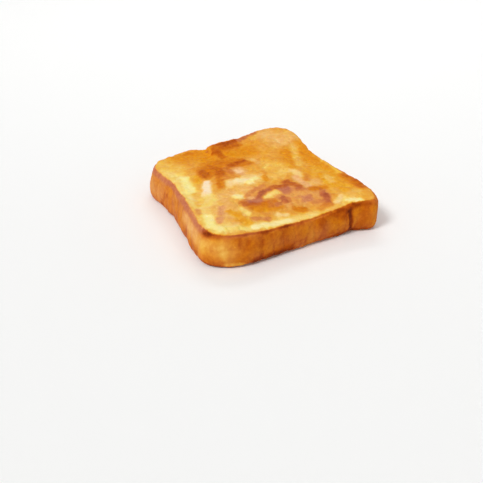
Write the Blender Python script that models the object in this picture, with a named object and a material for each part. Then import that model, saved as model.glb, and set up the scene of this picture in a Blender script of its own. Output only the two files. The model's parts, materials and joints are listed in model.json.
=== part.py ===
"""A thick slice of french toast, lying flat: one slice of a tin loaf, soaked and fried on both faces.

Metres, +Z up. The loaf's base points to -Y and its two-humped crown to +Y. The slice rests on
its lower face, and the origin is under the middle of its bounding box. Lengths are written in
millimetres and turned to metres when the mesh is made.
"""

import math

import bmesh
import bpy
from mathutils import Vector
from mathutils.geometry import interpolate_bezier

MM = 0.001

# Driving dimensions.
THICKNESS = 21.5
CRUST_BULGE = 1.2  # how far the crust swells out at half height
LEFT_SPREAD = 3.2  # the soaked left side has spread: its foot reaches this much further than its top
UPPER_ROUNDING = 2.2  # where the crust turns into the upper face
LOWER_ROUNDING = 2.6

# The crust line of the upper face, anticlockwise from the left foot.
LOAF_OUTLINE = (
    # base
    (-43, -46.2), (-27, -47.6), (0, -45), (22, -43.6), (42, -43.2),
    # right foot and side, up to the waist
    (51.8, -45.2), (56.4, -37.6), (57.8, -26), (56.6, -8), (53.6, 10), (51.8, 26), (50.8, 33),
    # right shoulder and hump
    (52, 43), (52, 54.5), (48.4, 64), (41.6, 69.8), (31, 70.8), (12.5, 66.4), (-4, 64.8), (-10.4, 64.2),
    # cleft, left hump and shoulder
    (-14.4, 64), (-18.8, 68.8), (-27, 71.4), (-40.5, 67.8), (-51.4, 63.2), (-56, 55),
    # left waist, side and foot
    (-55, 42), (-53.8, 27), (-55, 5), (-57.4, -20), (-57.6, -31), (-54.4, -39.4),
)

# Upright folds in the crust: a place on the outline, half width, depth, and how far along the
# crust the fold's foot lies from its top. From FOLD_FADE of the crust's height upwards a fold
# grows shallower, and at the upper rim it keeps only a share of its depth.
FOLDS = (
    ((-53.8, 27), 3.0, 2.0, 6.5),
    ((35, -43.6), 2.4, 1.8, 2.5),
    ((50.8, 33), 3.2, 1.0, 0.0),
    ((-56.4, -10), 4.5, 0.8, -2.0),
    ((-55, 8), 4.0, 0.6, 2.0),
    ((-10, -46), 6.0, 0.5, 0.0),
    ((16, 67), 5.0, 0.6, 3.0),
)
FOLD_FADE = 0.67
FOLD_AT_RIM = 0.35

# The right hump curls up off the pan: the whole corner a little, and the hump again along a fold.
CURL_WAY = Vector((0.55, 0.835))
CURL_START, CURL_RUN, CURL_RISE = 30.0, 50.0, 2.6
HUMP_START, HUMP_RUN, HUMP_RISE = 38.0, 24.0, 3.2
HUMP_SIDE, HUMP_SIDE_RUN = -20.0, 10.0

# The base is squeezed thinner in its middle: (place, half length along the base, reach, depth).
SQUEEZE = (Vector((2, -45)), 32.0, 34.0, 3.0)

# The upper face: a trough just inside the crust, a low crown in the middle, a groove running in
# from the cleft, and soft dents (place, radius, depth).
TROUGH_FROM_EDGE, TROUGH_WIDTH, TROUGH_DEPTH = 7.0, 4.5, 0.7
CROWN_RISE, CROWN_RUN = 0.9, 21.0
GROOVE_START, GROOVE_END, GROOVE_WIDTH, GROOVE_DEPTH = Vector((-14, 63)), Vector((-20, 46)), 2.6, 1.6
DENTS = (
    ((-24, 38), 11, 0.9),
    ((8, 40), 12, 0.7),
    ((-34, 2), 13, 0.8),
    ((24, 14), 10, -0.7),
    ((4, -12), 16, -0.8),
    ((-18, -22), 10, 0.6),
    ((36, -22), 9, 0.5),
)
FACE_CENTRE = Vector((-1, 10))

# The mesh: points round the crust, curve steps between landmarks, rings up the crust, and the
# faces' rings as shares of the way from the rim to the middle.
CRUST_POINTS = 160
STEPS_PER_SPAN = 12
WALL_RINGS = 5
ROUNDING_RINGS = 3
UPPER_RINGS = (0.07, 0.16, 0.28, 0.42, 0.57, 0.72, 0.86)
LOWER_RINGS = (0.10, 0.35, 0.65, 0.86)


def ease(t):
    """0 to 1 with no kink at either end."""
    t = min(max(t, 0.0), 1.0)
    return t * t * (3 - 2 * t)


def bell(distance, half_width):
    return math.exp(-((distance / half_width) ** 2))


def crust_line():
    """The outline as evenly spaced points on a smooth closed curve through its landmarks.

    At each landmark the curve runs parallel to the line between the landmarks on either side.
    """
    marks = [Vector(p) for p in LOAF_OUTLINE]
    count = len(marks)
    curve = []
    for i, start in enumerate(marks):
        before, end, after = marks[i - 1], marks[(i + 1) % count], marks[(i + 2) % count]
        leave = start + (end - before) / 6
        arrive = end - (after - start) / 6
        curve += interpolate_bezier(start, leave, arrive, end, STEPS_PER_SPAN + 1)[:-1]
    curve = [p.to_2d() for p in curve]
    return evenly_spaced(curve + curve[:1], CRUST_POINTS)


def evenly_spaced(path, count):
    """Points at equal steps along a closed path whose last point is its first."""
    along = [0.0]
    for a, b in zip(path, path[1:]):
        along.append(along[-1] + (b - a).length)
    points, span = [], 0
    for k in range(count):
        wanted = along[-1] * k / count
        while along[span + 1] < wanted:
            span += 1
        share = (wanted - along[span]) / (along[span + 1] - along[span])
        points.append(path[span].lerp(path[span + 1], share))
    return points


def outward(points):
    """The unit normal at each point of an anticlockwise outline."""
    normals = []
    for i in range(len(points)):
        way = points[(i + 1) % len(points)] - points[i - 1]
        normals.append(Vector((way.y, -way.x)).normalized())
    return normals


def fold_depth(points, index, level):
    """How far the folds pull the crust in at this point, level going from 0 at its foot to 1 at its top."""
    step = (points[1] - points[0]).length
    depth = 0.0
    for place, half_width, most, lean in FOLDS:
        middle = min(range(len(points)), key=lambda i: (points[i] - Vector(place)).length)
        gap = (index - middle + len(points) // 2) % len(points) - len(points) // 2
        depth += most * bell(gap * step - lean * (1 - level), half_width)
    fade = ease((level - FOLD_FADE) / (1 - FOLD_FADE))
    return depth * (1 - (1 - FOLD_AT_RIM) * fade)


def curl(place):
    """How far the slice has curled up off the pan here."""
    corner = CURL_RISE * ease((place.dot(CURL_WAY) - CURL_START) / CURL_RUN)
    hump = ease((place.y - HUMP_START) / HUMP_RUN) * ease((place.x - HUMP_SIDE) / HUMP_SIDE_RUN)
    return corner + HUMP_RISE * hump


def squeeze(place):
    """How much thinner the slice is here."""
    centre, length, reach, depth = SQUEEZE
    return depth * bell(place.x - centre.x, length) * bell(place.y - centre.y, reach)


def groove(place):
    """The depth of the groove that runs in from the cleft and dies out."""
    run = GROOVE_END - GROOVE_START
    along = (place - GROOVE_START).dot(run) / run.length_squared
    across = (place - GROOVE_START - run * min(max(along, 0.0), 1.0)).length
    return GROOVE_DEPTH * bell(across, GROOVE_WIDTH) * (1 - ease(along))


def upper_relief(place, from_edge):
    """The upper face's height above its own plane."""
    relief = -TROUGH_DEPTH * bell(from_edge - TROUGH_FROM_EDGE, TROUGH_WIDTH)
    relief += CROWN_RISE * ease((from_edge - TROUGH_FROM_EDGE) / CROWN_RUN)
    for dent, radius, depth in DENTS:
        relief -= depth * bell((place - Vector(dent)).length, radius)
    return relief * ease(from_edge / TROUGH_FROM_EDGE) - groove(place)


def crust_levels():
    """(inset, height) up the crust, from the lower face's rim to the upper face's rim."""
    low, high = LOWER_ROUNDING, THICKNESS - UPPER_ROUNDING
    quarter = [math.pi / 2 * k / ROUNDING_RINGS for k in range(ROUNDING_RINGS + 1)]
    levels = [(low * (1 - math.sin(a)), low * (1 - math.cos(a))) for a in quarter]
    levels += [(0.0, low + (high - low) * k / WALL_RINGS) for k in range(1, WALL_RINGS)]
    levels += [(UPPER_ROUNDING * (1 - math.cos(a)), high + UPPER_ROUNDING * math.sin(a)) for a in quarter]
    return levels


def crust_ring(points, normals, inset, height):
    """(place, height) of the crust's points at one height, before the slice is squeezed and curls."""
    level = height / THICKNESS
    ring = []
    for i, (point, normal) in enumerate(zip(points, normals)):
        out = CRUST_BULGE * math.sin(math.pi * level) - inset
        out += LEFT_SPREAD * (1 - level) * max(0.0, -normal.x)
        out -= fold_depth(points, i, level)
        ring.append((point + normal * out, height))
    return ring


def face_ring(rim, share, relief):
    """A ring of a face, moved in from its rim by a share of the way to the middle."""
    ring = []
    for edge, height in rim:
        place = edge.lerp(FACE_CENTRE, share)
        ring.append((place, height + relief(place, (edge - place).length)))
    return ring


def slice_rings():
    """Every ring of the slice, from near the middle of the lower face round to that of the upper."""
    points = crust_line()
    normals = outward(points)
    crust = [crust_ring(points, normals, *level) for level in crust_levels()]
    lower = [face_ring(crust[0], share, lambda place, edge: 0.0) for share in reversed(LOWER_RINGS)]
    upper = [face_ring(crust[-1], share, upper_relief) for share in UPPER_RINGS]
    return [[settled(*point) for point in ring] for ring in lower + crust + upper]


def settled(place, height):
    """A point of the flat slice, moved to where the squeeze and the curl leave it."""
    z = height - squeeze(place) * height / THICKNESS + curl(place)
    return Vector((place.x, place.y, z))


def centred(rings):
    """The rings moved so that the origin is under the middle of their box."""
    low = [min(p[axis] for ring in rings for p in ring) for axis in range(3)]
    high = [max(p[axis] for ring in rings for p in ring) for axis in range(3)]
    shift = Vector(((low[0] + high[0]) / 2, (low[1] + high[1]) / 2, low[2]))
    return [[p - shift for p in ring] for ring in rings]


def slice_mesh():
    """The rings skinned with quads, and each face closed with a fan to its middle."""
    bm = bmesh.new()
    rings = [[bm.verts.new(p * MM) for p in ring] for ring in centred(slice_rings())]
    for below, above in zip(rings, rings[1:]):
        for i in range(CRUST_POINTS):
            j = (i + 1) % CRUST_POINTS
            bm.faces.new((below[i], below[j], above[j], above[i]))
    caps = [bm.faces.new(reversed(rings[0])), bm.faces.new(rings[-1])]
    bmesh.ops.poke(bm, faces=caps)
    mesh = bpy.data.meshes.new("french_toast")
    bm.to_mesh(mesh)
    bm.free()
    mesh.shade_smooth()
    mesh.set_sharp_from_angle(angle=math.radians(50))
    return mesh


def fried_bread():
    """Bread soaked in egg and milk and browned in butter."""
    material = bpy.data.materials.new("fried_bread")
    material.use_nodes = True
    shader = material.node_tree.nodes["Principled BSDF"]
    shader.inputs["Base Color"].default_value = (0.78, 0.41, 0.09, 1)
    shader.inputs["Roughness"].default_value = 0.5
    shader.inputs["Metallic"].default_value = 0.0
    return material


for old in list(bpy.data.objects):
    bpy.data.objects.remove(old)

toast = bpy.data.objects.new("french_toast", slice_mesh())
toast.data.materials.append(fried_bread())
bpy.context.scene.collection.objects.link(toast)
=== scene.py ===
"""The looks of a thick slice of french toast: its skin of set egg, its browning, its creased crust."""

import json
import math

import bpy
import numpy as np
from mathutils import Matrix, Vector, kdtree, noise

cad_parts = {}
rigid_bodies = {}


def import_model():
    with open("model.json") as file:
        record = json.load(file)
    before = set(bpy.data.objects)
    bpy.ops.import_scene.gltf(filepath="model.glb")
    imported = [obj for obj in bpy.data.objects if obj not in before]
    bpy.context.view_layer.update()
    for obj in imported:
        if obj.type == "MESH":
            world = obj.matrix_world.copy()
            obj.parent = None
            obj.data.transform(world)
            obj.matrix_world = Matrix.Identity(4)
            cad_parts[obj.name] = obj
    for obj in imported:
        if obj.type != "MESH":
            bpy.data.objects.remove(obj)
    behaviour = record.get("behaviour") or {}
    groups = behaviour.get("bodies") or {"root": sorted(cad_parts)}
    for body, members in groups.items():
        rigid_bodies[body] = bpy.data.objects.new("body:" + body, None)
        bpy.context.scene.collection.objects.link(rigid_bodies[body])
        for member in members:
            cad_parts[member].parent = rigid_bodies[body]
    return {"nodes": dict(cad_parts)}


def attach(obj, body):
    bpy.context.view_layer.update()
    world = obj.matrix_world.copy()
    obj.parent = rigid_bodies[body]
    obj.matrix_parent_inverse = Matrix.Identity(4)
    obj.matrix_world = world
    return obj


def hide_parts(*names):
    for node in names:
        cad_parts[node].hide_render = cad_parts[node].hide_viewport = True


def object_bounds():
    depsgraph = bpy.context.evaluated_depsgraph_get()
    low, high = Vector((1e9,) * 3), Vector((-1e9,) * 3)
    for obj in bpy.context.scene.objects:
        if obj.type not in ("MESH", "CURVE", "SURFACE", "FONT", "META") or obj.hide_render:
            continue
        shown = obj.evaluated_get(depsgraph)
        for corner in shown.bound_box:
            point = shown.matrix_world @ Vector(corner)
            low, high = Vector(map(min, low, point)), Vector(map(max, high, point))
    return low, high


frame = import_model()
cad_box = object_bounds()

# --- The bread ---------------------------------------------------------------------------------
# A thick slice of white tin loaf, soaked through in beaten egg and milk. It has gone soft, so its
# crust has spread and creased. Its mesh is the CAD slice, merged, rounded and made even.

MM = 0.001
MESH_STEP = 0.63
SMOOTHING_PASSES = 4
CREASE_REACH = 0.22


def pick(piece):
    """Select this piece alone."""
    bpy.ops.object.select_all(action="DESELECT")
    piece.select_set(True)
    bpy.context.view_layer.objects.active = piece


def finish_with(piece, kind, **settings):
    """Add a modifier, set it and apply it."""
    pick(piece)
    modifier = piece.modifiers.new(kind.lower(), kind)
    for name, value in settings.items():
        setattr(modifier, name, value)
    bpy.ops.object.modifier_apply(modifier=modifier.name)


pick(frame["nodes"]["french_toast"])
bpy.ops.object.duplicate()
toast = bpy.context.object
toast.name = "egg_soaked_slice"
bpy.ops.object.parent_clear(type="CLEAR_KEEP_TRANSFORM")
for mark in list(toast.keys()):
    del toast[mark]

bpy.ops.object.mode_set(mode="EDIT")
bpy.ops.mesh.select_all(action="SELECT")
bpy.ops.mesh.remove_doubles(threshold=1e-6)
bpy.ops.mesh.tris_convert_to_quads()
bpy.ops.mesh.customdata_custom_splitnormals_clear()
bpy.ops.object.mode_set(mode="OBJECT")
finish_with(toast, "SUBSURF", levels=1, render_levels=1)
finish_with(toast, "REMESH", mode="VOXEL", voxel_size=MESH_STEP * MM, use_smooth_shade=True)
finish_with(toast, "SMOOTH", factor=0.5, iterations=SMOOTHING_PASSES)

spots = np.array([v.co for v in toast.data.vertices]) / MM
facing = np.array([v.normal for v in toast.data.vertices])


def ease(start, end, value):
    """0 at start to 1 at end, with no kink at either; start may be the larger."""
    t = np.clip((value - start) / (end - start), 0, 1)
    return t * t * (3 - 2 * t)


def grain(size, seed, upright=1.0):
    """Soft noise from -1 to 1, in lumps this many millimetres across and this many times taller."""
    shift = Vector((13.7 * seed, 7.3 * seed, 3.1 * seed))
    return np.array([noise.noise(Vector((x, y, z / upright)) / size + shift) for x, y, z in spots])


def creases(size, seed, upright=1.0):
    """1 along wandering lines this many millimetres apart, falling to 0 beside them."""
    return ease(CREASE_REACH, 0.0, np.abs(grain(size, seed, upright)))


def near(points, places):
    """The distance from each place to a line through these points."""
    points = np.array(points, float)
    places = places[:, : points.shape[1]]
    best = np.full(len(places), np.inf)
    for a, b in zip(points, points[1:]):
        run = b - a
        along = np.clip((places - a) @ run / (run @ run), 0, 1)
        best = np.minimum(best, np.linalg.norm(places - a - along[:, None] * run, axis=1))
    return best


# A spot on the slice is on a level face, on the upright crust, or on the rim between them.
# from_rim is the distance inwards over a face, and below zero the distance over the crust.
RIM_FACING = (0.45, 0.8)
RIM_MIDDLE = 0.62
EVENING_PASSES = 6
level = np.abs(facing[:, 2])
rim_spots = np.flatnonzero((level > RIM_FACING[0]) & (level < RIM_FACING[1]))
rims = kdtree.KDTree(len(rim_spots))
for index in rim_spots:
    rims.insert(Vector(spots[index]), int(index))
rims.balance()
ends = np.empty(2 * len(toast.data.edges), int)
toast.data.edges.foreach_get("vertices", ends)
ends = ends.reshape(-1, 2)


def settled(values, passes):
    """Values evened out over the mesh, each spot taking the mean of its neighbours."""
    for _ in range(passes):
        total = np.bincount(ends[:, 0], values[ends[:, 1]], len(values))
        total += np.bincount(ends[:, 1], values[ends[:, 0]], len(values))
        count = np.bincount(ends.ravel(), minlength=len(values))
        values = (values + total) / (1 + count)
    return values


nearest = [rims.find(Vector(p))[1:] for p in spots]
from_rim = settled(np.array([n[1] for n in nearest]) * np.where(level > RIM_MIDDLE, 1, -1), EVENING_PASSES)
outward = facing[[n[0] for n in nearest]]
leftward = ease(0.2, 0.8, -settled(outward[:, 0], EVENING_PASSES))
rightward = ease(0.2, 0.8, settled(outward[:, 0], EVENING_PASSES))
frontward = ease(0.2, 0.8, -settled(outward[:, 1], EVENING_PASSES))
upper = ease(-0.2, 0.2, facing[:, 2])
on_face = ease(-0.6, 0.6, from_rim)

# --- The browning ------------------------------------------------------------------------------
# Butter and egg browned in the pan wherever the slice pressed on it. The marks are those of a
# slice that was pushed about: a torn swirl, two dark patches, and pale sides that never touched.
# A few cream marks on top are painted highlights, and the crust's folds and foot hold painted shade.

# The steps of browning, palest first, and of blush, where it browned pink through milk.
CREAM, YELLOW, STRAW, GOLD, ORANGE, RUSSET, BROWN, DARK = 0.1, 0.2, 0.3, 0.4, 0.5, 0.6, 0.7, 0.8
PLAIN, WARM, MILKY, MAUVE = 0.0, 0.25, 0.6, 1.0

# A mark is its browning, its blush, its half width and the points it runs through.
UPPER_BASE = (GOLD, WARM)
UPPER_WASHES = (
    # left side, from the crown down
    (YELLOW, WARM, 7, ((-47, 35), (-47, -45))),
    (STRAW, WARM, 6, ((-47, 47), (-42, 37))),
    # crown
    (ORANGE, PLAIN, 9, ((-31, 49), (-19, 47), (-17, 33))),
    (ORANGE, PLAIN, 6, ((-3, 37), (17, 37))),
    (GOLD, WARM, 6, ((23, 48), (24, 34))),
    (STRAW, MILKY, 8, ((33, 48), (38, 36), (44, 40))),
    # right side
    (ORANGE, PLAIN, 6, ((36, 24), (27, 5))),
    (ORANGE, PLAIN, 6, ((48, 28), (46, 11), (50, -25))),
    (STRAW, WARM, 2.5, ((44, 31), (33, 4))),
    (BROWN, PLAIN, 3.5, ((54, -21), (55, -38))),
    # middle
    (STRAW, WARM, 6, ((15, 11), (20, 7))),
    (STRAW, WARM, 5, ((19, -1), (11, -4))),
    (YELLOW, MILKY, 6, ((-18, 0), (-2, 0))),
    (STRAW, MILKY, 6, ((-31, -13), (-14, -12))),
    # lower part
    (STRAW, MILKY, 8, ((-36, -25), (-33, -45))),
    (GOLD, MILKY, 11, ((-9, -27), (23, -32))),
    (GOLD, PLAIN, 8, ((41, -9), (42, -34))),
    (STRAW, WARM, 4.5, ((37, -45), (47, -44))),
    (STRAW, MILKY, 4, ((24, -21), (31, -21))),
    (YELLOW, WARM, 4, ((-47, -47), (-31, -51), (-5, -52), (19, -53))),
    (STRAW, WARM, 4, ((20, -52), (40, -51))),
)
UPPER_MARKS = (
    # pale left side
    (CREAM, PLAIN, 3, ((-42, 21), (-45, 2))),
    # A cream streak of egg, partly a painted highlight.
    (CREAM, MAUVE, 3, ((-32, 8), (-38, -6))),
    (YELLOW, WARM, 4.5, ((-38, -9), (-40, -15))),
    (CREAM, PLAIN, 3, ((-48, -31), (-50, -41), (-48, -47))),
    (GOLD, PLAIN, 2, ((-35, 18), (-36, 11))),
    (STRAW, WARM, 2.5, ((-43, -1), (-47, -15))),
    # lower left
    (GOLD, MAUVE, 2, ((-36, -25), (-40, -32))),
    (GOLD, MAUVE, 2.5, ((-42, -36), (-44, -39))),
    (GOLD, PLAIN, 3, ((-34, -32), (-31, -38))),
    (GOLD, PLAIN, 4, ((-31, -43), (-30, -46))),
    (YELLOW, WARM, 2, ((-27, -32), (-25, -38))),
    (GOLD, MILKY, 2, ((-50, -20), (-51, -25))),
    (ORANGE, MILKY, 2, ((-24, -43), (-16, -46))),
    # A cream line just inside the front rim, a painted highlight.
    (CREAM, WARM, 2.5, ((-27, -52), (-5, -52))),
    (CREAM, WARM, 3, ((-23, -16), (-20, -19))),
    # dark patch left of the cleft
    (RUSSET, PLAIN, 6, ((-25, 26), (-19, 26), (-18, 20), (-26, 19))),
    (BROWN, PLAIN, 3.5, ((-29, 22), (-29, 16))),
    (BROWN, PLAIN, 3.5, ((-18, 25), (-17, 20), (-21, 9))),
    (RUSSET, WARM, 2.5, ((-13, 21), (-12, 13))),
    (RUSSET, PLAIN, 2.5, ((-23, 7), (-26, -1))),
    (ORANGE, WARM, 3, ((-18, 8), (-13, 7))),
    # dark patch below the cleft
    (RUSSET, PLAIN, 4.5, ((-14, 29), (-3, 28), (0, 26))),
    (DARK, PLAIN, 3.5, ((-7, 23), (2, 23))),
    (RUSSET, PLAIN, 3, ((-2, 20), (5, 21))),
    (STRAW, MILKY, 2, ((9, 25), (10, 19))),
    # the cleft and the scorched edge of the crown
    (BROWN, PLAIN, 2.5, ((-9, 48), (-10, 42), (-8, 36))),
    (BROWN, PLAIN, 3, ((-9, 44), (7, 45))),
    (DARK, PLAIN, 2.5, ((-5, 48), (10, 50))),
    (RUSSET, MILKY, 2, ((11, 50), (26, 56))),
    (RUSSET, PLAIN, 2, ((-28, 53), (-25, 53))),
    # pale middle
    # A milky patch, partly a painted highlight.
    (STRAW, MAUVE, 4, ((-7, 15), (-6, 11))),
    (YELLOW, MAUVE, 2, ((-8, 14), (-5, 12))),
    (CREAM, MILKY, 3, ((-13, 1), (-7, -3))),
    (CREAM, PLAIN, 2, ((-8, -4), (-1, -1))),
    (YELLOW, MILKY, 3, ((25, -3), (26, -9))),
    (ORANGE, PLAIN, 2, ((5, -1), (4, -6))),
    (ORANGE, WARM, 2, ((31, -11), (27, -17))),
    # the swirl: its two arches, and the egg inside them
    (ORANGE, MILKY, 2, ((-3, -13), (-12, -16), (-16, -19), (-23, -29))),
    (RUSSET, MAUVE, 3, ((5, -21), (10, -21), (8, -25))),
    (BROWN, MILKY, 2.5, ((-12, -26), (-10, -23), (-7, -20), (2, -18))),
    (BROWN, WARM, 2.5, ((2, -18), (12, -17))),
    (BROWN, WARM, 3, ((13, -14), (17, -20), (18, -23))),
    (BROWN, MILKY, 2.5, ((16, -25), (19, -28), (24, -29))),
    (YELLOW, WARM, 2.5, ((-6, -25), (2, -23))),
    (STRAW, MAUVE, 2, ((-16, -22), (-14, -23))),
    (STRAW, MAUVE, 2.5, ((22, -11), (24, -23))),
    # its left foot, and the spots under it
    (RUSSET, PLAIN, 3.5, ((-19, -32), (-5, -32))),
    (ORANGE, PLAIN, 3, ((-17, -36), (-3, -37))),
    (BROWN, WARM, 3, ((-22, -27), (-16, -29))),
    (RUSSET, MAUVE, 2.5, ((-18, -26), (-12, -27))),
    (RUSSET, WARM, 2, ((-6, -31), (-8, -35))),
    (RUSSET, MILKY, 2, ((-4, -35), (2, -34))),
    (BROWN, MILKY, 2.5, ((3, -30), (4, -33))),
    (RUSSET, PLAIN, 2.5, ((5, -43), (9, -45))),
    (YELLOW, MILKY, 2.5, ((-8, -44), (-4, -46))),
    # milky patch right of it
    (GOLD, MILKY, 7, ((13, -33), (23, -34))),
    (ORANGE, MAUVE, 3, ((13, -35), (18, -36))),
    (GOLD, MILKY, 2, ((11, -34), (9, -38))),
    (ORANGE, MILKY, 2, ((19, -41), (23, -42))),
    # its red-brown tail
    (RUSSET, PLAIN, 2.5, ((24, -29), (33, -29))),
    (RUSSET, MILKY, 2, ((30, -32), (28, -37))),
    (BROWN, MILKY, 2.5, ((28, -37), (27, -42), (26, -46))),
    (ORANGE, WARM, 2.5, ((25, -47), (19, -48))),
    (GOLD, WARM, 3, ((37, -35), (35, -39))),
    (YELLOW, MILKY, 2, ((36, -43), (31, -47))),
    # A painted highlight near the front rim.
    (CREAM, WARM, 2.5, ((38, -48), (44, -51))),
    (STRAW, WARM, 3, ((42, -16), (41, -24))),
    (STRAW, PLAIN, 2.5, ((53, 8), (54, -14))),
)

# The underside was fried first and has lain on the plate since: gold, with two dark patches and a
# few fainter ones.
LOWER_BASE = (0.36, 0.4)
LOWER_WASHES = (
    (0.24, 0.4, 6.0, ((-48, 30), (-50, -10), (-44, -46))),
    (0.26, 0.5, 5.0, ((-30, -50), (10, -50), (44, -46))),
    (0.52, 0.1, 14.0, ((-22, 10), (4, 18))),
    (0.48, 0.4, 12.0, ((10, -22), (28, -8))),
    (0.46, 0.1, 8.0, ((-32, 42), (26, 44))),
)
LOWER_MARKS = (
    (0.58, 0.1, 8.0, ((-24, 8), (-12, 14), (-4, 6))),
    (0.66, 0.1, 5.0, ((-18, 12), (-8, 16))),
    (0.56, 0.4, 8.0, ((14, -24), (24, -14))),
    (0.66, 0.5, 4.0, ((20, -22), (28, -18), (26, -8))),
    (0.30, 0.5, 4.5, ((4, -4), (10, 0))),
    (0.28, 0.4, 5.0, ((-30, -14), (-24, -20))),
    (0.54, 0.1, 5.0, ((-26, -36), (-14, -36))),
    (0.52, 0.0, 5.0, ((30, 32), (34, 24))),
    (0.50, 0.7, 3.5, ((-40, 14), (-38, 2))),
)

# The crust, with the height of each point: paler and pinker down the left side, with a painted pink
# highlight high on it, yellow at the left foot, brown along the front, and darker along its foot, partly
# scorched and partly painted shade. Painted shade darkens its folds, darkest in the right foot's fold.
CRUST_BASE = (0.56, 0.2)
CRUST_WASHES = (
    (0.48, 0.5, 8.0, ((-56, 42, 10), (-58, 28, 12))),
    (0.56, 0.3, 9.0, ((-58, 9, 12), (-58, -13, 12))),
    # A painted highlight: the pale pink patch high on the left crust.
    (0.32, 0.7, 5.0, ((-59, -17, 15), (-59, -37, 15))),
    # Darker along the foot of the left crust: partly scorched on the pan, partly painted shade.
    (0.62, 0.1, 5.0, ((-59, -19, 2), (-59, -39, 2))),
    (0.34, 0.3, 6.0, ((-57, -45, 12), (-55, -53, 12), (-49, -58, 12))),
    (0.64, 0.1, 10.0, ((-35, -61, 14), (-1, -59, 14))),
    (0.58, 0.2, 7.0, ((11, -58, 5), (27, -57, 5))),
    (0.72, 0.0, 5.0, ((13, -58, 17), (37, -56, 17))),
    (0.64, 0.0, 7.0, ((46, -55, 12), (56, -48, 12))),
)
CRUST_MARKS = (
    # Painted shade down the fold in the left crust.
    (0.82, 0.1, 2.0, ((-56, 15, 19), (-58, 21, 11), (-58, 26, 3))),
    (0.64, 0.1, 3.5, ((-58, -4, 8), (-58, 3, 3))),
    (0.24, 0.3, 1.8, ((-49, -58, 2), (-39, -61, 2))),
    # Darker along the foot of the front: partly scorched on the pan, partly painted shade.
    (0.80, 0.0, 4.0, ((-31, -61, 1), (-7, -59, 2))),
    # Painted shade down the right foot's fold.
    (0.96, 0.0, 1.7, ((35.5, -55, 18), (37, -55, 9), (37, -55, 1))),
)

# The rim between them, scorched in a thin line: mauve on the left, nearly burnt at the left foot.
RIM_BASE = (0.66, 0.3)
RIM_MARKS = (
    (0.60, 1.0, 8.0, ((-56, 42), (-56, -1), (-58, -39))),
    (0.90, 0.1, 4.0, ((-57, -47), (-55, -52), (-51, -56))),
    (0.74, 0.4, 6.0, ((-45, -59), (-33, -60))),
    (0.88, 0.1, 7.0, ((-23, -60), (-11, -59))),
    (0.74, 0.2, 7.0, ((1, -58), (13, -57))),
    (0.86, 0.0, 8.0, ((25, -56), (43, -55))),
    (0.64, 0.1, 7.0, ((58, -38), (57, -16))),
    (0.50, 0.1, 8.0, ((54, 0), (51, 24))),
    (0.42, 0.8, 8.0, ((52, 42), (44, 57))),
    (0.64, 0.5, 6.0, ((30, 59), (15, 55))),
    (0.78, 0.2, 6.0, ((9, 54), (-7, 52))),
    (0.62, 0.1, 8.0, ((-19, 57), (-36, 56))),
)


def browned(base, washes, marks, places, ragged):
    """Browning, with any painted shade and painted highlights among the marks, and blush at each place:
    soft washes, then marks with ragged edges over them.
    """
    browning_and_painted_light = np.full(len(places), base[0])
    blush = np.full(len(places), base[1])
    for layer, outer, inner in ((washes, 1.8, 0.2), (marks, 1.55, 0.35)):
        for brown, pink, width, points in layer:
            edge = near(points, places) + ragged * min(1.0, width / 3)
            cover = ease(outer * width, inner * width, edge)
            browning_and_painted_light += (brown - browning_and_painted_light) * cover
            blush += (pink - blush) * cover
    return browning_and_painted_light, blush


wander = np.stack([grain(7, 21), grain(7, 22), grain(7, 23)], axis=1) * 0.6
wander += np.stack([grain(2.6, 24), grain(2.6, 25), grain(2.6, 26)], axis=1) * 0.6
ragged = 0.9 * grain(3.4, 1) + 0.6 * grain(1.7, 2)
upper_brown, upper_blush = browned(UPPER_BASE, UPPER_WASHES, UPPER_MARKS, spots + wander, ragged)
lower_brown, lower_blush = browned(LOWER_BASE, LOWER_WASHES, LOWER_MARKS, spots + 2 * wander, 2 * ragged)
face_brown = lower_brown + (upper_brown - lower_brown) * upper
bumps = 0.5 * grain(5.5, 3) + 0.5 * grain(2.6, 4)
face_brown += 0.10 * bumps * ease(-0.1, 0.4, face_brown) + (1 - upper) * 0.1 * grain(11, 5)
face_blush = lower_blush + (upper_blush - lower_blush) * upper
face_blush += 0.25 * grain(4, 6) * ease(0.6, 0.3, face_brown)

crust_brown_and_painted_light, crust_blush = browned(CRUST_BASE, CRUST_WASHES, CRUST_MARKS, spots + wander, ragged)
streaks = 0.7 * grain(5, 7, upright=3) + 0.3 * grain(2.4, 14, upright=2.5)
wrinkles = creases(8, 15, upright=4)
# Streaks and blotches of browning, and a little painted shade along the sunk wrinkles.
crust_brown_and_painted_light += 0.10 * streaks + 0.07 * grain(9, 8) + 0.04 * grain(2, 9) + 0.05 * wrinkles
# Darker towards the bottom: partly scorched where it met the pan, partly painted shade.
crust_brown_and_painted_light += 0.10 * ease(10, 1, spots[:, 2])
crust_blush += 0.2 * grain(8, 16)

rim_brown, rim_blush = browned(RIM_BASE, (), RIM_MARKS, spots, ragged)
rim_brown += 0.08 * grain(9, 10)
rim_inset = 1.3 * leftward + 1.8 * frontward + 1.5 * rightward * ease(14, -2, spots[:, 1])
rim_width = 1.7 + 2.2 * leftward + 0.8 * rightward + frontward * (0.8 + 2.2 * ease(8, 34, spots[:, 0]))
wavering = from_rim + 0.3 - rim_inset + 0.6 * grain(6, 11) + 0.3 * grain(2, 12)
rim_line = ease(0.9, 0.0, wavering) * ease(-rim_width, -0.3 * rim_width, wavering)
rim_line = np.clip(rim_line * (0.9 + 0.4 * grain(11, 13)), 0, 1)

# Browning over the whole slice, painted shade and painted highlights included.
browning_and_painted_light = crust_brown_and_painted_light + (face_brown - crust_brown_and_painted_light) * on_face
blush = crust_blush + (face_blush - crust_blush) * on_face
browning_and_painted_light += (rim_brown - browning_and_painted_light) * rim_line
blush += (rim_blush - blush) * rim_line

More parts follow.
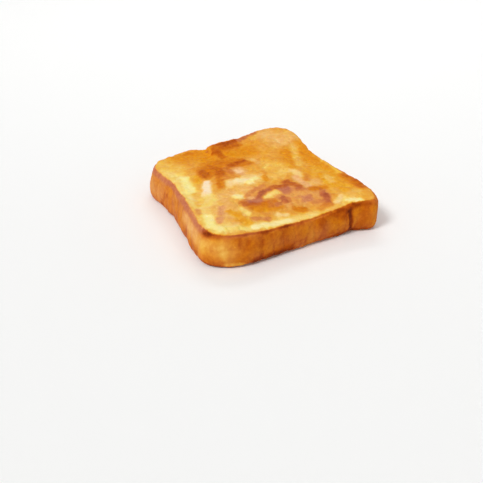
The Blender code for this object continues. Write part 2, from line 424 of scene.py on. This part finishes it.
# --- The skin ----------------------------------------------------------------------------------
# The set egg follows the crumb: pits where there were holes, low blisters where it browned, and
# upright wrinkles round the crust. It moves the surface by less than a millimetre almost everywhere,
# and by up to 1.3 mm in the deepest pits and on the right hump beside the cleft.


def pits(size, least, most, seed):
    """0 to 1 inside round pits, one at most in each cell of this size."""
    shift = Vector((5.1 * seed, 9.7 * seed, 2.3 * seed))
    depth = np.zeros(len(spots))
    for i, p in enumerate(spots):
        away, centres = noise.voronoi(Vector(p) / size + shift)
        radius = least + (most - least) * abs(noise.cell(centres[0] * 7.3))
        depth[i] = max(0.0, 1 - (away[0] * size / radius) ** 2)
    return depth


egg_white = ease(0.22, 0.06, face_brown)
crumb_pits = np.maximum(pits(4.4, 0.5, 1.9, 1), 0.7 * pits(2.6, 0.2, 1.0, 2)) * (1 - egg_white)
relief = on_face * (0.60 * grain(14, 31) + 0.7 * bumps - 0.15 * creases(9, 32))
relief += on_face * (0.5 * (face_brown - 0.4) + 0.3 * egg_white - 0.7 * crumb_pits)
relief += (1 - on_face) * (0.5 * grain(9, 34) + 0.25 * streaks - 0.3 * wrinkles + 0.12 * grain(2.2, 35))
relief -= (1 - on_face) * 0.2 * crumb_pits + 0.2 * rim_line

# The right hump stands a little higher than the left where the crown is cleft between them.
HUMP_STEP = 0.9
across, along = spots[:, 0], spots[:, 1]
hump = ease(-14, -12, across) * ease(14, -10, across) * ease(34, 46, along)
relief += HUMP_STEP * on_face * upper * hump
browning_and_painted_light -= 0.06 * crumb_pits * on_face

moved = spots + facing * relief[:, None]
moved[:, 2] = np.maximum(moved[:, 2], 0.0)
toast.data.vertices.foreach_set("co", (moved * MM).ravel())
toast.data.update()
toast.data.shade_smooth()

# Browning, with its painted shade and painted highlights, and blush go to the shader.
for name, values in (("browning_and_painted_light", browning_and_painted_light), ("blush", blush)):
    layer = toast.data.attributes.new(name, "FLOAT", "POINT")
    layer.data.foreach_set("value", values.astype(np.float32))


def shade(code):
    """A hex sRGB colour as linear RGBA."""
    parts = [int(code[i : i + 2], 16) / 255 for i in (1, 3, 5)]
    return (*[c / 12.92 if c <= 0.04045 else ((c + 0.055) / 1.055) ** 2.4 for c in parts], 1.0)


def add(tree, kind, sockets=None, stops=None, **settings):
    """A node with its settings; each socket gets a number, a colour or another node's output."""
    made = tree.nodes.new(kind)
    for name, value in settings.items():
        setattr(made, name, value)
    for name, value in (sockets or {}).items():
        if isinstance(value, bpy.types.NodeSocket):
            tree.links.new(value, made.inputs[name])
        else:
            made.inputs[name].default_value = value
    if stops:
        ramp = made.color_ramp.elements
        while len(ramp) < len(stops):
            ramp.new(1.0)
        for element, (position, colour) in zip(ramp, stops):
            element.position = position
            element.color = shade(colour)
    return made


def per(size):
    """The scale that makes a texture's lumps this many millimetres."""
    return 1 / (size * MM)


# Fried egg-soaked bread: set egg is pale yellow and a little translucent, butter browns it through
# gold and orange to dark brown, milk turns that pinker, and all of it stays softly glossy.
EGG = (
    (0.0, "#fff3cc"),
    (0.1, "#fbe88e"),
    (0.2, "#f5d562"),
    (0.3, "#f0bb3c"),
    (0.4, "#eaa220"),
    (0.5, "#e28d14"),
    (0.6, "#d67a10"),
    (0.7, "#c6650c"),
    (0.8, "#b24f08"),
    (0.9, "#8c3808"),
    (1.0, "#642206"),
)
MILK_BROWNED = (
    (0.0, "#fff0e2"),
    (0.1, "#fce2bc"),
    (0.2, "#f6c88e"),
    (0.3, "#eeb070"),
    (0.4, "#e0985e"),
    (0.5, "#d28558"),
    (0.6, "#c47250"),
    (0.7, "#b2604a"),
    (0.8, "#984a3a"),
    (0.9, "#7f352a"),
    (1.0, "#5a211a"),
)
fried = bpy.data.materials.new("egg_soaked_bread_fried_in_butter")
fried.use_nodes = True
tree = fried.node_tree
tree.nodes.clear()
where = add(tree, "ShaderNodeTexCoord").outputs["Object"]
# The browning, with its painted shade and painted highlights.
brown = add(tree, "ShaderNodeAttribute", attribute_name="browning_and_painted_light").outputs["Fac"]
pink = add(tree, "ShaderNodeAttribute", attribute_name="blush").outputs["Fac"]
lace = add(
    tree,
    "ShaderNodeTexNoise",
    {"Vector": where, "Scale": per(2.6), "Detail": 4.0, "Roughness": 0.6, "Distortion": 0.5},
)
laced = add(
    tree,
    "ShaderNodeMapRange",
    {"Value": lace.outputs["Fac"], "From Min": 0.3, "From Max": 0.7, "To Min": -1.0, "To Max": 1.0},
)
depth = add(
    tree,
    "ShaderNodeMapRange",
    {"Value": brown, "From Min": 0.1, "From Max": 0.55, "To Min": 0.015, "To Max": 0.065},
)
speck = add(tree, "ShaderNodeTexNoise", {"Vector": where, "Scale": per(0.7), "Detail": 2.0})
speckle = add(
    tree,
    "ShaderNodeMapRange",
    {
        "Value": speck.outputs["Fac"],
        "From Min": 0.3,
        "From Max": 0.7,
        "To Min": -0.015,
        "To Max": 0.015,
    },
)
crumb = add(tree, "ShaderNodeTexVoronoi", {"Vector": where, "Scale": per(2.4)})
pore = add(
    tree,
    "ShaderNodeMapRange",
    {"Value": crumb.outputs["Distance"], "From Min": 0.16, "From Max": 0.36, "To Min": 1.0, "To Max": 0.0},
    interpolation_type="SMOOTHSTEP",
)
which = add(tree, "ShaderNodeSeparateColor", {"Color": crumb.outputs["Color"]})
some = add(
    tree,
    "ShaderNodeMapRange",
    {"Value": which.outputs["Red"], "From Min": 0.5, "From Max": 0.8, "To Min": 0.0, "To Max": 1.0},
)
pores = add(
    tree,
    "ShaderNodeMath",
    {0: pore.outputs["Result"], 1: some.outputs["Result"]},
    operation="MULTIPLY",
)
lacy = add(
    tree,
    "ShaderNodeMath",
    {0: laced.outputs["Result"], 1: depth.outputs["Result"], 2: brown},
    operation="MULTIPLY_ADD",
)
specked = add(
    tree,
    "ShaderNodeMath",
    {0: lacy.outputs["Value"], 1: speckle.outputs["Result"]},
    operation="ADD",
)
toasted = add(
    tree,
    "ShaderNodeMath",
    {0: pores.outputs["Value"], 1: -0.04, 2: specked.outputs["Value"]},
    operation="MULTIPLY_ADD",
)
egg = add(tree, "ShaderNodeValToRGB", {"Fac": toasted.outputs["Value"]}, EGG)
milk = add(tree, "ShaderNodeValToRGB", {"Fac": toasted.outputs["Value"]}, MILK_BROWNED)
colour = add(
    tree,
    "ShaderNodeMix",
    {0: pink, 6: egg.outputs["Color"], 7: milk.outputs["Color"]},
    data_type="RGBA",
)
gloss = add(
    tree,
    "ShaderNodeMapRange",
    {"Value": toasted.outputs["Value"], "From Min": 0.0, "From Max": 0.5, "To Min": 0.22, "To Max": 0.46},
)
lumps = add(
    tree,
    "ShaderNodeMath",
    {0: pores.outputs["Value"], 1: -0.9, 2: lace.outputs["Fac"]},
    operation="MULTIPLY_ADD",
)
fine = add(
    tree,
    "ShaderNodeMath",
    {0: speck.outputs["Fac"], 1: 0.15, 2: lumps.outputs["Value"]},
    operation="MULTIPLY_ADD",
)
bump = add(tree, "ShaderNodeBump", {"Height": fine.outputs["Value"], "Strength": 0.5, "Distance": 0.3 * MM})
butter = add(
    tree,
    "ShaderNodeMapRange",
    {"Value": toasted.outputs["Value"], "From Min": 0.1, "From Max": 0.45, "To Min": 0.14, "To Max": 0.0},
)
skin = add(
    tree,
    "ShaderNodeBsdfPrincipled",
    {
        "Base Color": colour.outputs[2],
        "Roughness": gloss.outputs["Result"],
        "IOR": 1.38,
        "Specular IOR Level": 0.05,
        "Subsurface Weight": 0.1,
        "Subsurface Radius": (1.0, 0.45, 0.15),
        "Subsurface Scale": 1.5 * MM,
        "Coat Weight": butter.outputs["Result"],
        "Coat Roughness": 0.22,
        "Normal": bump.outputs["Normal"],
    },
)
add(tree, "ShaderNodeOutputMaterial", {"Surface": skin.outputs["BSDF"]})
toast.data.materials.clear()
toast.data.materials.append(fried)

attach(toast, "root")
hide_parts("french_toast")

# --- The setting -------------------------------------------------------------------------------
# A plain white table that curves up into its backdrop, under soft studio light: a white dome, a
# soft key from the left, and a long window behind that puts the shine on the wet egg.

TABLE_RADIUS, BACKDROP_HEIGHT, BEND = 2.2, 0.75, 0.7
TABLE_DROP = 0.0001
bpy.ops.object.select_all(action="DESELECT")
bpy.ops.mesh.primitive_cylinder_add(vertices=96, radius=TABLE_RADIUS, depth=BACKDROP_HEIGHT)
table = bpy.context.object
table.name = "table_and_backdrop"
bpy.ops.transform.translate(value=(0, 0, BACKDROP_HEIGHT / 2 - TABLE_DROP))
bpy.ops.object.transform_apply(location=True)
shape = table.data
bpy.ops.object.mode_set(mode="EDIT")
bpy.ops.mesh.select_all(action="DESELECT")
bpy.ops.object.mode_set(mode="OBJECT")
for face in shape.polygons:
    face.select = face.normal.z > 0.5
bpy.ops.object.mode_set(mode="EDIT")
bpy.ops.mesh.delete(type="FACE")
bpy.ops.mesh.select_all(action="SELECT")
bpy.ops.mesh.flip_normals()
bpy.ops.mesh.select_all(action="DESELECT")
bpy.ops.object.mode_set(mode="OBJECT")
for edge in shape.edges:
    edge.select = all(shape.vertices[i].co.z < 0.1 for i in edge.vertices)
bpy.ops.object.mode_set(mode="EDIT")
bpy.ops.mesh.select_mode(type="EDGE")
bpy.ops.mesh.bevel(offset=BEND, segments=14)
bpy.ops.object.mode_set(mode="OBJECT")
bpy.ops.object.shade_smooth()
card = bpy.data.materials.new("matt_white_card")
card.use_nodes = True
tree = card.node_tree
tree.nodes.clear()
paper = add(
    tree,
    "ShaderNodeBsdfPrincipled",
    {"Base Color": shade("#fafaf9"), "Roughness": 0.9, "Specular IOR Level": 0.1},
)
add(tree, "ShaderNodeOutputMaterial", {"Surface": paper.outputs["BSDF"]})
table.data.materials.append(card)

room = bpy.data.worlds.new("white_room")
room.use_nodes = True
tree = room.node_tree
tree.nodes.clear()
sky = add(tree, "ShaderNodeTexCoord").outputs["Generated"]
lift = add(tree, "ShaderNodeSeparateXYZ", {"Vector": sky}).outputs["Z"]
glow = add(
    tree,
    "ShaderNodeMapRange",
    {"Value": lift, "To Min": 0.2, "To Max": 0.62},
    interpolation_type="SMOOTHSTEP",
)
dome = add(tree, "ShaderNodeBackground", {"Color": shade("#ffffff"), "Strength": glow.outputs["Result"]})
add(tree, "ShaderNodeOutputWorld", {"Surface": dome.outputs["Background"]})
bpy.context.scene.world = room


def way_to(azimuth, elevation):
    """The direction to something at this azimuth and elevation, in degrees; azimuth 0 is at -Y."""
    a, e = math.radians(azimuth), math.radians(elevation)
    return Vector((math.sin(a) * math.cos(e), -math.cos(a) * math.cos(e), math.sin(e)))


def aim(thing, target):
    """Turn a lamp or camera to look at a point."""
    thing.rotation_euler = (Vector(target) - thing.location).to_track_quat("-Z", "Y").to_euler()


middle = (Vector(cad_box[0]) + Vector(cad_box[1])) / 2
bpy.ops.object.light_add(type="SUN", location=way_to(-75, 50))
key = bpy.context.object
key.name = "key"
key.data.energy = 1.5
key.data.angle = math.radians(18)
aim(key, (0, 0, 0))

bpy.ops.object.light_add(type="AREA", location=middle + 0.9 * way_to(152, 48))
window = bpy.context.object
window.name = "window"
window.data.shape = "RECTANGLE"
window.data.size, window.data.size_y = 0.5, 0.15
window.data.energy = 1.1
aim(window, middle)

# The camera stands where the slice is seen over its left foot, looking down at it.
CAMERA_AZIMUTH, CAMERA_ELEVATION, CAMERA_DISTANCE = -28, 27.5, 0.45
LENS = 53.0
AIM_LEFT, AIM_BELOW = 0.0155, 0.0358
face_middle = Vector((1.1, -11.9, 21.5)) * MM
bpy.ops.object.camera_add(location=face_middle + CAMERA_DISTANCE * way_to(CAMERA_AZIMUTH, CAMERA_ELEVATION))
camera = bpy.context.object
camera.data.lens = LENS
camera.data.clip_start = 0.01
aim(camera, face_middle)
bpy.context.view_layer.update()
left, up = -camera.matrix_world.col[0].xyz, camera.matrix_world.col[1].xyz
aim(camera, face_middle + AIM_LEFT * left - AIM_BELOW * up)
bpy.context.scene.camera = camera
bpy.context.scene.view_settings.view_transform = "Standard"
